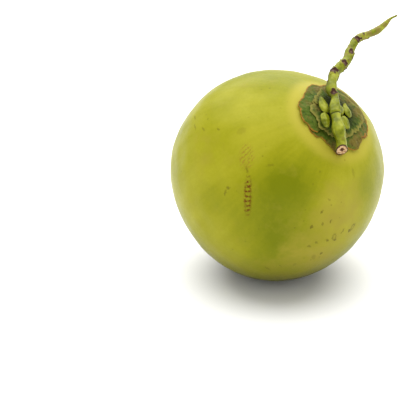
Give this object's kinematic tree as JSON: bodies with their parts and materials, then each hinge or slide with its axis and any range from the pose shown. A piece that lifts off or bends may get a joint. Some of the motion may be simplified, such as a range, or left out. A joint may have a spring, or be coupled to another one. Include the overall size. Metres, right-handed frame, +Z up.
{
  "type": "green coconut",
  "caption": "Whole young green coconut with its leafy calyx and a length of flower stalk, resting on a small flat spot.",
  "frame": {"origin": "centre of the small flat spot that the husk rests on", "axes": "+Z up, square to the resting spot; the stem end leans 41.5 degrees from +Z towards +X"},
  "size_m": [0.1594, 0.1611, 0.1951],
  "materials": {
    "husk_skin": "waxy yellow-green rind, satin, with small brown scars",
    "calyx_scale": "leathery dark green, dull, with thin brown-orange rims",
    "bract": "fleshy yellow-green, dull",
    "stalk": "smooth yellow-green skin with dark flower scars and a pale woody cut end"
  },
  "bodies": {
    "root": {"husk": "husk_skin", "petal_1": "calyx_scale", "petal_2": "calyx_scale", "petal_3": "calyx_scale", "sepal_1": "calyx_scale", "sepal_2": "calyx_scale", "sepal_3": "calyx_scale", "bract_1": "bract", "bract_2": "bract", "bract_3": "bract", "bract_4": "bract", "stalk": "stalk"}
  },
  "joints": []
}
